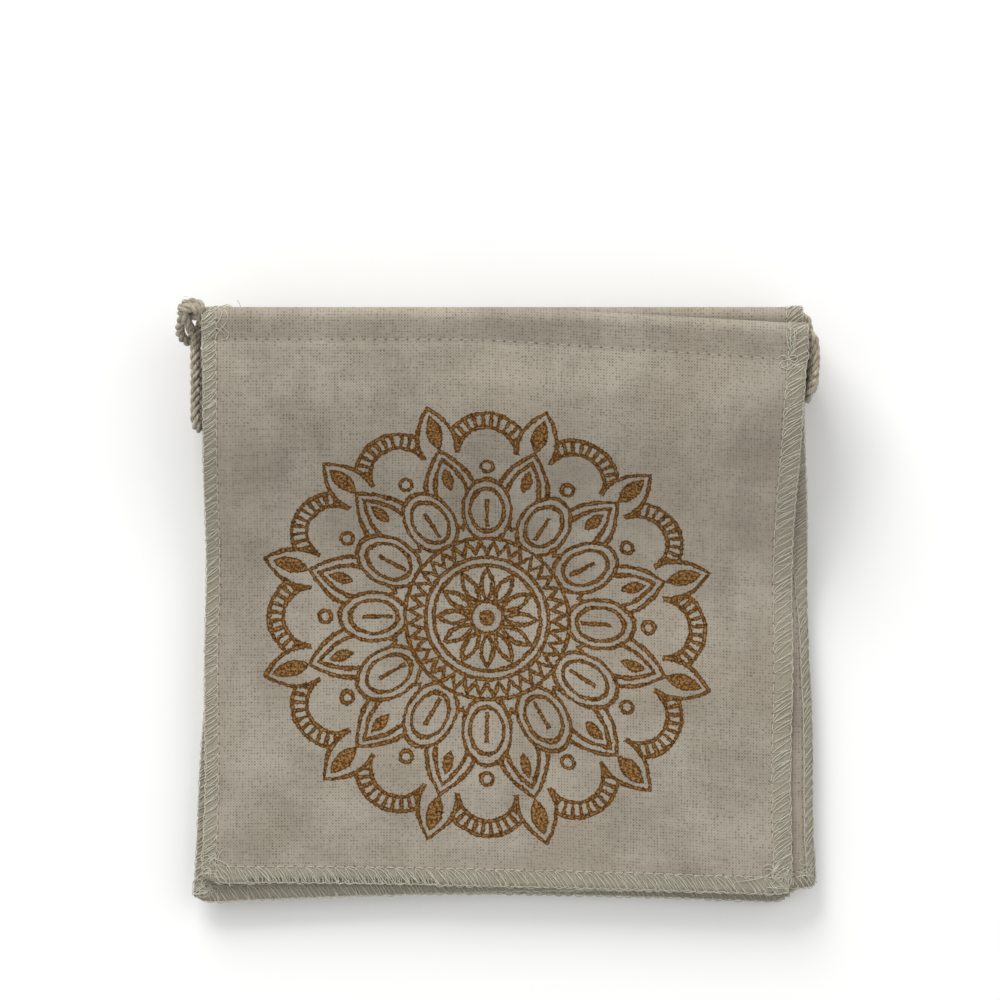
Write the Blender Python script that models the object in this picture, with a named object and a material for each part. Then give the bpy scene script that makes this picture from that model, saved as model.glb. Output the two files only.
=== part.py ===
# Bunting of seven square cotton flags on one twisted cord, put away flag on flag.
# X runs along the casings, Y from the lower hems to the folds and Z up from the surface it lies on.
import math

import bmesh
import bpy
from mathutils import Vector

MM = 0.001  # every size below is in millimetres

# Driving dimensions
SHEET = 1.0             # thickness of a flag
GAP = 0.3               # clearance between two pieces
CORD_DIAMETER = 2.9
CASING_DEPTH = 8.5      # from the fold to the seam
HEM_LAP = 1.5           # how far the turned hem reaches past the seam
UPPER_FOLD = 77.6       # Y of the folds in the upper lane
LOWER_FOLD = 70.7       # Y of the folds in the lower lane, so that fat casings lie beside each other
LOWER_HEMS = -75.0      # where the lower hems lie on average
RAMP_LOW = 0.0          # from here towards the casings the flags part from each other
RAMP_HIGH = 60.0        # and here each has reached the level of its own casing

CORD_RADIUS = CORD_DIAMETER / 2
TUNNEL = CORD_RADIUS + GAP                   # inside radius of a casing
CASING_RADIUS = TUNNEL + SHEET               # outside radius of a casing
WAVE_ROOM = 0.2
LAYER = SHEET + GAP + WAVE_ROOM              # rise from one flat flag to the next, with room for its waves
CASING_STEP = CASING_RADIUS + GAP + SHEET    # rise from one nested casing to the next
TOP_STEP = 2 * CASING_RADIUS + GAP           # the top casing lies right over the one below it
TANGENT = math.radians(106)                  # where the flat of a casing meets its round fold

# One row for each flag, top one first. left and right are X at the top, middle and bottom of that edge,
# hem is Y at the left, middle and right of the lower edge, and phase shifts the ripple of the sides.
FLAG_COLUMNS = ("name", "fold", "left", "right", "hem", "phase")
FLAGS = (
    ("flag_1", UPPER_FOLD, (-78.5, -77.9, -78.6), (74.9, 74.9, 74.7), (-72.6, -73.4, -75.7), 0.3),
    ("flag_2", 77.9, (-75.5, -74.6, -73.6), (77.4, 79.2, 81.3), (-72.4, -73.0, -74.2), 1.9),
    ("flag_3", LOWER_FOLD, (-75.5, -77.0, -81.3), (75.6, 75.0, 73.6), (-77.9, -75.0, -74.0), 3.1),
    ("flag_4", UPPER_FOLD, (-75.5, -75.8, -77.8), (75.6, 76.6, 77.4), (-73.6, -74.2, -75.2), 4.4),
    ("flag_5", LOWER_FOLD, (-75.5, -76.4, -78.2), (75.6, 75.2, 74.2), (-75.2, -75.4, -77.8), 5.2),
    ("flag_6", UPPER_FOLD, (-75.5, -75.2, -76.2), (75.6, 75.9, 76.2), (-74.4, -73.6, -73.8), 0.9),
    ("flag_7", LOWER_FOLD, (-75.5, -76.8, -79.6), (75.6, 75.3, 75.4), (-76.2, -75.6, -76.8), 2.5),
)
FLAG_COUNT = len(FLAGS)
ROWS = (-68, -56, -42, -28, -14, 0, 8, 16, 24, 32, 40, 48, 54)   # Y of the rows below every casing
COLUMNS = (0.0, 0.02, 0.12, 0.25, 0.37, 0.5, 0.63, 0.75, 0.88, 0.98, 1.0)
FOLD_STEPS = 8          # facets round a fold
CORNER_LIFT = 1.7       # rounding of the two lower corners
EDGE_RIPPLE = 0.25      # the sides swing this far in and out
RIPPLE_LENGTH = 9.0
RIPPLE_FADE = 20.0      # and run straight into the casing

# The top flag's casing sags towards the right: where the sag starts and its slope, at the fold and the seam
FOLD_SAG = (6.0, 0.058)
SEAM_SAG = (-6.0, 0.066)
SAG_SOFTNESS = 8.0
TOP_FLARE = 4.0         # its right edge spreads towards the casing
TOP_FLARE_LENGTH = 40.0

# Soft waves of the pile: centre X, centre Y, direction in degrees, half length, half width, height
WAVES = (
    (-54.0, 22.0, 78.0, 46.0, 13.0, 0.9),
    (16.0, 46.0, 4.0, 58.0, 11.0, 0.8),
    (62.0, -8.0, 84.0, 42.0, 10.0, 1.3),
    (-26.0, -46.0, 24.0, 40.0, 13.0, 0.8),
    (34.0, -62.0, 172.0, 42.0, 10.0, 0.9),
)

# The rope's twist
PLIES = 3
LAY = 6.9               # one full turn of the twist
PLY_GROOVE = 0.34       # depth of the groove between two plies
RING_STEP = 1.05        # spacing of the sections where the twist shows
CASING_RING_STEP = 17.0  # and inside the casings


def level(index):
    """Height of the middle of a casing, counted from the lowest flag."""
    nested = min(index, FLAG_COUNT - 2)
    return CASING_RADIUS + nested * CASING_STEP + (index - nested) * TOP_STEP


def through(values, t):
    """Parabola through three values at t = 0, 0.5 and 1."""
    first, middle, last = values
    return (first * (1 - t) * (1 - 2 * t) + middle * 4 * t * (1 - t) + last * t * (2 * t - 1))


def smooth(t):
    t = min(max(t, 0.0), 1.0)
    return t * t * (3 - 2 * t)


def sag(x, start_slope):
    start, slope = start_slope
    over = x - start
    return slope * (math.hypot(over, SAG_SOFTNESS) + over) / 2


def wave(x, y):
    total = 0.0
    for cx, cy, degrees, half_length, half_width, height in WAVES:
        turn = math.radians(degrees)
        along = (x - cx) * math.cos(turn) + (y - cy) * math.sin(turn)
        across = (y - cy) * math.cos(turn) - (x - cx) * math.sin(turn)
        total += height * math.exp(-(along / half_length) ** 2 - (across / half_width) ** 2)
    return total


class Flag:
    """One flag of the pile; its number counts up from the surface."""

    def __init__(self, row, number):
        for column, value in zip(FLAG_COLUMNS, row):
            setattr(self, column, value)
        self.number = number
        self.is_top = number == FLAG_COUNT - 1
        self.level = level(number)

    def edges(self, y):
        t = (UPPER_FOLD - y) / (UPPER_FOLD - LOWER_HEMS)
        swing = math.sin(y / RIPPLE_LENGTH + self.phase)
        ripple = EDGE_RIPPLE * swing * smooth((RAMP_HIGH - y) / RIPPLE_FADE)
        left = through(self.left, t) + ripple
        right = through(self.right, t) - ripple
        if self.is_top:
            right += TOP_FLARE * math.exp(-((self.fold - y) / TOP_FLARE_LENGTH) ** 2)
        return left, right

    def x_at(self, column, y):
        left, right = self.edges(y)
        return left + (right - left) * column

    def fold_at(self, x):
        return self.fold - (sag(x, FOLD_SAG) if self.is_top else 0.0)

    def seam_at(self, x):
        return self.fold - CASING_DEPTH - (sag(x, SEAM_SAG) if self.is_top else 0.0)

    def height(self, x, y):
        """Middle of the cloth below the casing."""
        flat = SHEET / 2 + self.number * LAYER + wave(x, y) * self.number / (FLAG_COUNT - 1)
        return flat + (self.level + SHEET / 2 - flat) * smooth((y - RAMP_LOW) / (RAMP_HIGH - RAMP_LOW))

    def section(self, column):
        """Upper and under points of the cloth from the lower hem round the fold and back to the seam."""
        upper = []
        under = []
        lowest = through(self.hem, column)
        if column in (0.0, 1.0):
            lowest += CORNER_LIFT
        rows = [lowest, *ROWS]
        if self.fold - CASING_DEPTH - HEM_LAP > RAMP_HIGH + 1:
            rows.append(RAMP_HIGH)
        for y in rows:
            x = self.x_at(column, y)
            rise = self.height(x, y + 0.5) - self.height(x, y - 0.5)
            normal = Vector((0.0, -rise, 1.0)).normalized() * (SHEET / 2)
            middle = Vector((x, y, self.height(x, y)))
            upper.append(middle + normal)
            under.append(middle - normal)
        x_fold = self.x_at(column, self.fold)
        seam = self.seam_at(x_fold)
        for y in (seam - HEM_LAP, seam):
            x = self.x_at(column, y)
            upper.append(Vector((x, y, self.level + SHEET)))
            under.append(Vector((x, y, self.level)))
        centre = self.fold_at(x_fold) - CASING_RADIUS
        for step in range(FOLD_STEPS + 1):
            angle = TANGENT - 2 * TANGENT * step / FOLD_STEPS
            out = Vector((0.0, math.cos(angle), math.sin(angle)))
            x = self.x_at(column, centre + out.y * CASING_RADIUS)
            axis = Vector((x, centre, self.level))
            upper.append(axis + out * CASING_RADIUS)
            under.append(axis + out * TUNNEL)
        hem_seam = Vector((self.x_at(column, seam), seam, self.level - SHEET))
        hem_edge = Vector((self.x_at(column, seam - HEM_LAP), seam - HEM_LAP, self.level - SHEET))
        return upper, under, hem_seam, hem_edge

    def build(self):
        """Sweep the section from column to column, with the casing as a tunnel from end to end."""
        bm = bmesh.new()
        outlines = []
        tunnels = []
        caps = []
        for column in COLUMNS:
            upper, under, hem_seam, hem_edge = self.section(column)
            top = [bm.verts.new(p * MM) for p in upper]
            low = [bm.verts.new(p * MM) for p in under]
            lap = [bm.verts.new(p * MM) for p in (hem_seam, hem_edge)]
            seam = len(low) - FOLD_STEPS - 2
            outlines.append(top + lap + low[seam - 1::-1])
            tunnels.append(low[seam:])
            cap = [(top[i], top[i + 1], low[i + 1], low[i]) for i in range(len(top) - 1)]
            cap.append((top[-1], lap[0], low[seam], low[-1]))
            cap.append((lap[0], lap[1], low[seam - 1], low[seam]))
            caps.append(cap)
        for loops in (outlines, tunnels):
            for here, beyond in zip(loops, loops[1:]):
                for i in range(len(here)):
                    j = (i + 1) % len(here)
                    bm.faces.new((here[i], here[j], beyond[j], beyond[i]))
        for cap in (caps[0], caps[-1]):
            for corners in cap:
                bm.faces.new(corners)
        bmesh.ops.recalc_face_normals(bm, faces=bm.faces)
        return finished(bm, self.name, CLOTH)


def finished(bm, name, material):
    mesh = bpy.data.meshes.new(name)
    bm.to_mesh(mesh)
    bm.free()
    mesh.materials.append(material)
    mesh.shade_smooth()
    mesh.set_sharp_from_angle(angle=math.radians(40))
    piece = bpy.data.objects.new(name, mesh)
    bpy.context.scene.collection.objects.link(piece)
    return piece


def make_material(name, colour, roughness):
    material = bpy.data.materials.new(name)
    material.use_nodes = True
    shader = material.node_tree.nodes["Principled BSDF"]
    shader.inputs["Base Color"].default_value = (*colour, 1.0)
    shader.inputs["Roughness"].default_value = roughness
    shader.inputs["Metallic"].default_value = 0.0
    return material


# The cord's route. SHOWN points carry the twist; the rest lie inside a casing.
SHOWN = True
INSIDE = False
MOUTH_LEAD = 4.0        # straight length inside each mouth
CASING_SHARES = (0.2, 0.35, 0.5, 0.65, 0.8)   # points between the two mouths
TURN_STEPS = 4          # points less one on the half circle at the end of a side loop
STRAND_SAG = 0.2        # how far a strand beside the pile hangs below its mouth
# A strand leaves a mouth sideways and turns down the pile's side: its points, sideways and down the side,
# as shares of its distance from the mouth
OUT_FIRST = (0.45, 0.08)
OUT_SHOULDER = (0.82, 0.59)
OUT_STRAIGHT = 1.35
BACK_STRAIGHT = 1.53
BACK_LAST = (0.57, 0.27)
BACK_SHOULDER = 1.4
BACK_BELOW_UPPER = 2.4  # a returning strand stays this far below the mouth that it left
BACK_LEAN = 0.2


def casing_axis(flag, x):
    return (x, flag.fold_at(x) - CASING_RADIUS, flag.level)


def through_casing(flag, from_left):
    """Route points along the inside of one casing, from mouth to mouth."""
    left = flag.x_at(0.0, flag.fold)
    right = flag.x_at(1.0, flag.fold)
    ends = (left, left + MOUTH_LEAD, right - MOUTH_LEAD, right)
    middle = [left + (right - left) * share for share in CASING_SHARES]
    stations = sorted(list(ends) + middle, reverse=not from_left)
    return [casing_axis(flag, x) + (INSIDE,) for x in stations]


def side_loop(upper, lower, side, out, back, turn_y, back_z=None):
    """The slack between two flags: out of one mouth, along the pile's side, and back a level lower."""
    x0, y0, z0 = casing_axis(upper, upper.x_at(0.0 if side < 0 else 1.0, upper.fold))
    x1, y1, z1 = casing_axis(lower, lower.x_at(0.0 if side < 0 else 1.0, lower.fold))
    far_z = z1 if back_z is None else back_z
    width = out - back
    drop = z0 - far_z
    radius = math.hypot(width, drop) / 2
    arc_y = turn_y + radius
    out_reach = abs(out - x0)
    back_reach = abs(back - x1)
    near = min(y1 - BACK_STRAIGHT * back_reach, y0 - BACK_BELOW_UPPER)
    top = y0 - OUT_STRAIGHT * out_reach
    points = [
        (x0 + side * OUT_FIRST[0] * out_reach, y0 - OUT_FIRST[1] * out_reach, z0),
        (x0 + side * OUT_SHOULDER[0] * out_reach, y0 - OUT_SHOULDER[1] * out_reach, z0 - STRAND_SAG / 2),
        (out, top, z0 - STRAND_SAG),
        (out, (top + arc_y) / 2, z0 - STRAND_SAG),
    ]
    for step in range(TURN_STEPS + 1):
        angle = math.pi * (step / TURN_STEPS - 0.5)
        share = 0.5 + 0.5 * math.sin(angle)
        points.append((out - width * share, arc_y - radius * math.cos(angle), z0 - STRAND_SAG - drop * share))
    points += [
        (back, (arc_y + near) / 2, (far_z + z1) / 2 - STRAND_SAG),
        (back - side * BACK_LEAN, near, z1 - STRAND_SAG / 2),
    ]
    if y1 > y0:
        points.append((back - side * BACK_LEAN, y1 - BACK_SHOULDER * back_reach, z1))
    points.append((x1 + side * BACK_LAST[0] * back_reach, y1 - BACK_LAST[1] * back_reach, z1))
    return [point + (SHOWN,) for point in points]


# Past the left end knot: the tail that hooks down and under the first strand
LEFT_TAIL = (
    (-81.0, 67.6, 19.0, SHOWN),
    (-81.8, 68.3, 19.5, SHOWN),
    (-83.2, 69.1, 20.9, SHOWN),
    (-84.1, 70.6, 23.2, SHOWN),
    (-84.6, 72.8, 25.6, SHOWN),
    (-84.4, 75.0, 27.6, SHOWN),
    (-82.9, 76.5, 28.7, SHOWN),
    (-80.9, 75.6, 28.9, SHOWN),
)
# The first loop on the right hangs widest: out of flag_1 and back into flag_2
RIGHT_LOOP = (
    (80.0, 70.3, 28.8, SHOWN),
    (80.6, 69.0, 28.6, SHOWN),
    (80.7, 67.2, 28.4, SHOWN),
    (80.7, 64.4, 28.0, SHOWN),
    (80.5, 60.8, 27.3, SHOWN),
    (80.2, 57.4, 26.7, SHOWN),
    (80.0, 55.2, 26.1, SHOWN),
    (79.8, 54.5, 24.7, SHOWN),
    (79.8, 55.2, 23.3, SHOWN),
    (79.9, 57.6, 22.8, SHOWN),
    (79.9, 62.0, 22.8, SHOWN),
    (79.9, 66.6, 22.8, SHOWN),
    (79.8, 70.2, 22.9, SHOWN),
    (79.5, 72.6, 23.0, SHOWN),
    (78.6, 74.6, 23.0, SHOWN),
)
# Past the last flag on the right: the far end, cut short below its knot
RIGHT_TAIL = (
    (77.2, 67.6, 2.8, SHOWN),
    (78.6, 65.9, 3.0, SHOWN),
    (79.1, 62.0, 3.6, SHOWN),
    (79.1, 57.6, 4.1, SHOWN),
    (79.0, 54.0, 3.6, SHOWN),
    (78.8, 51.9, 3.2, SHOWN),
)
# Knots: centre, half sizes along X, Y and Z
LEFT_KNOT = ((-82.4, 76.8, 28.9), (3.6, 3.3, 3.7))
RIGHT_KNOT = ((79.1, 57.6, 4.0), (2.8, 4.4, 3.7))
KNOT_WRAPS = 3          # turns of cord that show on a knot
KNOT_SLANT = 1.15       # how far the turns lean, in radians from pole to middle
KNOT_SEGMENTS = 18
KNOT_RINGS = 11
KNOT_GROOVE = 0.2       # share of the radius
LEFT_OUT = -80.4        # X of the strands on the left side of the pile
LEFT_BACK = -78.5
RIGHT_OUT = 78.8
RIGHT_BACK = 77.9
LEFT_TURN = 45.0        # Y where the loops of the top flag would turn; each lower one turns 1 mm higher
RIGHT_TURN = 52.0
LOW_LOOP = (80.8, 77.6, 10.7)   # the lowest loop on the right lies flat over the far knot: out, back, height


def cord_route(flags):
    """flags are in hanging order, from the top of the pile down."""
    route = list(LEFT_TAIL)
    for i, flag in enumerate(flags):
        from_left = i % 2 == 0
        route += through_casing(flag, from_left)
        if i + 1 == len(flags):
            break
        if i == 0:
            route += RIGHT_LOOP
        elif i + 3 == len(flags):
            out, back, height = LOW_LOOP
            route += side_loop(flag, flags[i + 1], 1, out, back, RIGHT_TURN + i, height)
        elif from_left:
            route += side_loop(flag, flags[i + 1], 1, RIGHT_OUT, RIGHT_BACK, RIGHT_TURN + i)
        else:
            route += side_loop(flag, flags[i + 1], -1, LEFT_OUT, LEFT_BACK, LEFT_TURN + i)
    route += RIGHT_TAIL
    return route


def curve_point(a, b, c, d, t):
    """Point of a centripetal spline between b and c."""
    knots = [0.0]
    for start, end in ((a, b), (b, c), (c, d)):
        knots.append(knots[-1] + math.sqrt((end - start).length))
    k0, k1, k2, k3 = knots
    s = k1 + (k2 - k1) * t
    ab = a.lerp(b, (s - k0) / (k1 - k0))
    bc = b.lerp(c, (s - k1) / (k2 - k1))
    cd = c.lerp(d, (s - k2) / (k3 - k2))
    abc = ab.lerp(bc, (s - k0) / (k2 - k0))
    bcd = bc.lerp(cd, (s - k1) / (k3 - k1))
    return abc.lerp(bcd, (s - k1) / (k2 - k1))


def centre_line(route):
    """Evenly spaced points of the smooth curve, each with its distance along it."""
    points = [Vector(row[:3]) for row in route]
    shown = [row[3] for row in route]
    padded = [2 * points[0] - points[1]] + points + [2 * points[-1] - points[-2]]
    line = [points[0]]
    steps = []
    for i in range(len(points) - 1):
        visible = shown[i] or shown[i + 1]
        span = (points[i + 1] - points[i]).length
        count = max(1, round(span / (RING_STEP if visible else CASING_RING_STEP)))
        for j in range(1, count + 1):
            line.append(curve_point(*padded[i:i + 4], j / count))
            steps.append(visible)
    return line, steps


def ring(centre, ahead, side, turn):
    """One section of the rope: a crest for each ply and a groove between each two."""
    across = ahead.cross(side).normalized()
    side = across.cross(ahead).normalized()
    points = []
    for i in range(2 * PLIES):
        radius = CORD_RADIUS - (PLY_GROOVE if i % 2 else 0.0)
        angle = turn + math.pi * i / PLIES
        points.append(centre + (side * math.cos(angle) + across * math.sin(angle)) * radius)
    return points, side


def make_cord(flags):
    line, steps = centre_line(cord_route(flags))
    bm = bmesh.new()
    rings = []
    side = Vector((0.0, 0.0, 1.0))
    turn = 0.0
    for i, centre in enumerate(line):
        before = line[max(i - 1, 0)]
        after = line[min(i + 1, len(line) - 1)]
        ahead = (after - before).normalized()
        if i and steps[i - 1]:
            turn += 2 * math.pi * (centre - before).length / LAY
        points, side = ring(centre, ahead, side, turn)
        rings.append([bm.verts.new(p * MM) for p in points])
    for here, beyond in zip(rings, rings[1:]):
        for i in range(len(here)):
            j = (i + 1) % len(here)
            bm.faces.new((here[i], here[j], beyond[j], beyond[i]))
    bm.faces.new(rings[0])
    bm.faces.new(rings[-1])
    bmesh.ops.recalc_face_normals(bm, faces=bm.faces)
    return finished(bm, "cord", CORD)


def make_knot(name, place):
    """A knot pulled tight: a lump with the turns of the cord raised on it."""
    centre, half_sizes = place
    bm = bmesh.new()
    bmesh.ops.create_uvsphere(bm, u_segments=KNOT_SEGMENTS, v_segments=KNOT_RINGS, radius=1.0)
    for vert in bm.verts:
        out = vert.co.normalized()
        winding = math.atan2(out.y, out.x) + KNOT_WRAPS * KNOT_SLANT * out.z
        dip = KNOT_GROOVE * (0.5 - 0.5 * math.cos(KNOT_WRAPS * winding)) * (1 - out.z ** 4)
        shape = Vector([out[axis] * half_sizes[axis] for axis in range(3)])
        vert.co = (Vector(centre) + shape * (1 - dip)) * MM
    return finished(bm, name, CORD)


def tie(cord, knot):
    """Joins a knot's lump to the cord, so that the cord stays one solid."""
    union = cord.modifiers.new(knot.name, "BOOLEAN")
    union.operation = "UNION"
    union.solver = "EXACT"
    union.object = knot
    knot.hide_render = True
    knot.display_type = "WIRE"


for old in list(bpy.data.objects):
    bpy.data.objects.remove(old, do_unlink=True)

CLOTH = make_material("unbleached_cotton", (0.40, 0.355, 0.285), 0.9)
CORD = make_material("cotton_cord", (0.34, 0.295, 0.225), 0.85)

hanging_order = [Flag(row, FLAG_COUNT - 1 - i) for i, row in enumerate(FLAGS)]
for one_flag in hanging_order:
    one_flag.build()
the_cord = make_cord(hanging_order)
tie(the_cord, make_knot("left_knot", LEFT_KNOT))
tie(the_cord, make_knot("right_knot", RIGHT_KNOT))
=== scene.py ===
import random
from bisect import bisect_right
from math import ceil, copysign, cos, exp, floor, hypot, pi, radians, sin, sqrt, tau

import bmesh
import bpy
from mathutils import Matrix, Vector, noise


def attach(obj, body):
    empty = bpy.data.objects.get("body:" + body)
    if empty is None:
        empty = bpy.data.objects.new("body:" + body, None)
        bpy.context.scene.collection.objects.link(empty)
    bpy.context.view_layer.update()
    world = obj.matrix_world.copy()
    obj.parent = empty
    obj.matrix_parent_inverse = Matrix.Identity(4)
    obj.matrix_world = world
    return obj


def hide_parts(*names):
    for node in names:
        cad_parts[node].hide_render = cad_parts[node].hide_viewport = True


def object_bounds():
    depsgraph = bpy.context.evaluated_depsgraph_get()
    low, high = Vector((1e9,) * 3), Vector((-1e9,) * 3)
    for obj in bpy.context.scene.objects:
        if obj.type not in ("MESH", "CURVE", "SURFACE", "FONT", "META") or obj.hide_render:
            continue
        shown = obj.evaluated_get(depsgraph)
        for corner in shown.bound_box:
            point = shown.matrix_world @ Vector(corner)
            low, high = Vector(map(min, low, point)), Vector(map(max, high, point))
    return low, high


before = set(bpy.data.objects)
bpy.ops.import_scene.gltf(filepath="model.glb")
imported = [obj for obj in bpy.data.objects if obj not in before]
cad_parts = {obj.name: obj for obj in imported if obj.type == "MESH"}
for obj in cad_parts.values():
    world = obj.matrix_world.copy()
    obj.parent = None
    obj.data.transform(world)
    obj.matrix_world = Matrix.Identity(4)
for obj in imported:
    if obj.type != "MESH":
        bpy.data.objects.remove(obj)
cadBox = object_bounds()
mm = 0.001  # sizes below are in millimetres; meshes are in metres

camera = {
    "middleX": -1.12,        # the spot of the pile under the middle of the picture
    "middleY": 27.3,
    "height": 4000.0,
    "acrossPicture": 260.4,  # seen from side to side at the level of the top flag
    "topLevel": 22.0,
    "sensor": 36.0,
}


def addObject(name, data):
    made = bpy.data.objects.new(name, data)
    bpy.context.scene.collection.objects.link(made)
    return made


def setCamera():
    data = bpy.data.cameras.new("camera")
    data.sensor_width = camera["sensor"]
    data.lens = camera["sensor"] * (camera["height"] - camera["topLevel"]) / camera["acrossPicture"]
    data.clip_start = 0.1
    data.clip_end = 20.0
    holder = addObject("camera", data)
    holder.location = (camera["middleX"] * mm, camera["middleY"] * mm, camera["height"] * mm)
    bpy.context.scene.camera = holder


setCamera()
print("camera set")

# The pile, as the solids have it
pile = {
    "slot": 1.0,             # thickness that each cloth may fill
    "gap": 0.3,
    "cordRadius": 1.45,
    "casingDepth": 8.5,      # fold to seam
    "hemLap": 1.5,           # turned hem past the seam
    "upperFold": 77.6,
    "lowerHems": -75.0,
    "rampLow": 0.0,
    "rampHigh": 60.0,
    "tangent": radians(106),
    "layerRise": 1.5,
    "cornerLift": 1.7,
    "cornerLength": 1.3,
    "ripple": 0.25,
    "rippleLength": 9.0,
    "rippleFade": 20.0,
    "foldSag": (6.0, 0.058),
    "seamSag": (-6.0, 0.066),
    "sagSoftness": 8.0,
    "flare": 4.0,            # the top flag's right edge spreads towards its casing
    "flareLength": 40.0,
    "longest": 165,          # no cloth reaches further below its seam
}
tunnel = pile["cordRadius"] + pile["gap"]
casingRadius = tunnel + pile["slot"]
casingStep = casingRadius + pile["gap"] + pile["slot"]
topStep = 2 * casingRadius + pile["gap"]
half = pile["slot"] / 2

# Edges are X at the fold, halfway and at the hem; the hem is Y at the left, in the middle and at the right
flagColumns = ("name", "fold", "left", "right", "hem", "phase")
flagRows = (
    ("flag_1", 77.6, (-78.5, -77.9, -78.6), (74.9, 74.9, 74.7), (-72.6, -73.4, -75.7), 0.3),
    ("flag_2", 77.9, (-75.5, -74.6, -73.6), (77.4, 79.2, 81.3), (-72.4, -73.0, -74.2), 1.9),
    ("flag_3", 70.7, (-75.5, -77.0, -81.3), (75.6, 75.0, 73.6), (-77.9, -75.0, -74.0), 3.1),
    ("flag_4", 77.6, (-75.5, -75.8, -77.8), (75.6, 76.6, 77.4), (-73.6, -74.2, -75.2), 4.4),
    ("flag_5", 70.7, (-75.5, -76.4, -78.2), (75.6, 75.2, 74.2), (-75.2, -75.4, -77.8), 5.2),
    ("flag_6", 77.6, (-75.5, -75.2, -76.2), (75.6, 75.9, 76.2), (-74.4, -73.6, -73.8), 0.9),
    ("flag_7", 70.7, (-75.5, -76.8, -79.6), (75.6, 75.3, 75.4), (-76.2, -75.6, -76.8), 2.5),
)
flagCount = len(flagRows)

# Soft waves of the whole pile: centre X and Y, direction, half length, half width, height
waves = (
    (-54.0, 22.0, 78.0, 46.0, 13.0, 0.9),
    (16.0, 46.0, 4.0, 58.0, 11.0, 0.8),
    (62.0, -8.0, 84.0, 42.0, 10.0, 1.3),
    (-26.0, -46.0, 24.0, 40.0, 13.0, 0.8),
    (34.0, -62.0, 172.0, 42.0, 10.0, 0.9),
)


def levelOf(number):
    nested = min(number, flagCount - 2)
    return casingRadius + nested * casingStep + (number - nested) * topStep


def through(values, t):
    # Soft curve through three values, at 0, a half and 1.
    first, middle, last = values
    return first * (1 - t) * (1 - 2 * t) + middle * 4 * t * (1 - t) + last * t * (2 * t - 1)


def smooth(t):
    t = min(max(t, 0.0), 1.0)
    return t * t * (3 - 2 * t)


def sag(x, startSlope):
    start, slope = startSlope
    over = x - start
    return slope * (hypot(over, pile["sagSoftness"]) + over) / 2


def ridges(table, x, y):
    total = 0.0
    for centreX, centreY, degrees, halfLength, halfWidth, height in table:
        turn = radians(degrees)
        along = (x - centreX) * cos(turn) + (y - centreY) * sin(turn)
        across = (y - centreY) * cos(turn) - (x - centreX) * sin(turn)
        total += height * exp(-(along / halfLength) ** 2 - (across / halfWidth) ** 2)
    return total


def edgesAt(flag, y):
    t = (pile["upperFold"] - y) / (pile["upperFold"] - pile["lowerHems"])
    swing = sin(y / pile["rippleLength"] + flag["phase"])
    ripple = pile["ripple"] * swing * smooth((pile["rampHigh"] - y) / pile["rippleFade"])
    left = through(flag["left"], t) + ripple
    right = through(flag["right"], t) - ripple
    if flag["isTop"]:
        right += pile["flare"] * exp(-((flag["fold"] - y) / pile["flareLength"]) ** 2)
    return left, right


def widthOf(flag):
    return flag["right"][1] - flag["left"][1]


def xAt(flag, column, y):
    left, right = edgesAt(flag, y)
    return left + (right - left) * column


def foldAt(flag, x):
    return flag["fold"] - (sag(x, pile["foldSag"]) if flag["isTop"] else 0.0)


def seamAt(flag, x):
    return flag["seamY"] - (sag(x, pile["seamSag"]) if flag["isTop"] else 0.0)


def plainHeight(flag, y, wave=0.0):
    flat = half + flag["number"] * pile["layerRise"] + wave * flag["number"] / (flagCount - 1)
    share = smooth((y - pile["rampLow"]) / (pile["rampHigh"] - pile["rampLow"]))
    return flat + (flag["level"] + half - flat) * share


def measureDrop(flag):
    # Length of cloth below the seam for each millimetre of the way down the pile.
    lengths = [0.0]
    for reach in range(1, pile["longest"]):
        y = flag["seamY"] - reach
        rise = plainHeight(flag, y) - plainHeight(flag, y + 1)
        lengths.append(lengths[-1] + hypot(1.0, rise))
    return lengths


def reachOf(flag, down):
    lengths = flag["drop"]
    i = min(max(bisect_right(lengths, down), 1), len(lengths) - 1)
    return i - 1 + (down - lengths[i - 1]) / (lengths[i] - lengths[i - 1])


def downOf(flag, reach):
    lengths = flag["drop"]
    i = min(max(int(reach), 0), len(lengths) - 2)
    return lengths[i] + (lengths[i + 1] - lengths[i]) * (reach - i)


flags = []
for i, row in enumerate(flagRows):
    flag = dict(zip(flagColumns, row))
    flag["number"] = flagCount - 1 - i
    flag["isTop"] = i == 0
    flag["level"] = levelOf(flag["number"])
    flag["seamY"] = flag["fold"] - pile["casingDepth"]
    flag["drop"] = measureDrop(flag)
    flags.append(flag)

cord = {
    "diameter": 2.9,
    "plies": 3,
    "lay": 6.9,
    "plyRadius": 0.64,
    "plyOffset": 0.72,
    "yarns": 3,              # lobes of a ply's section
    "yarnDepth": 0.07,
    "yarnLay": 5.2,
    "step": 0.36,            # where it shows
    "hiddenStep": 6.0,       # inside a casing
    "mouthLead": 4.0,
    "casingShares": (0.2, 0.35, 0.5, 0.65, 0.8),
    "turnSteps": 4,
    "sag": 0.2,              # a strand beside the pile hangs this far below its mouth
    # loops at the sides: X of the way out and of the way back, Y of the turn, and for the low one Z after it
    "leftLoop": (-80.4, -78.5, 45.0),
    "rightLoop": (78.8, 77.9, 52.0),
    "lowLoop": (80.8, 77.6, 52.0, 10.7),
    # a strand's way out of a mouth and back into the next one, as shares of its distance from the pile
    "outFirst": (0.45, 0.08),
    "outShoulder": (0.82, 0.59),
    "outStraight": 1.35,
    "backStraight": 1.53,
    "backShoulder": 1.4,
    "backLast": (0.57, 0.27),
    "belowUpper": 2.4,
    "backLean": 0.2,
}
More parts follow.
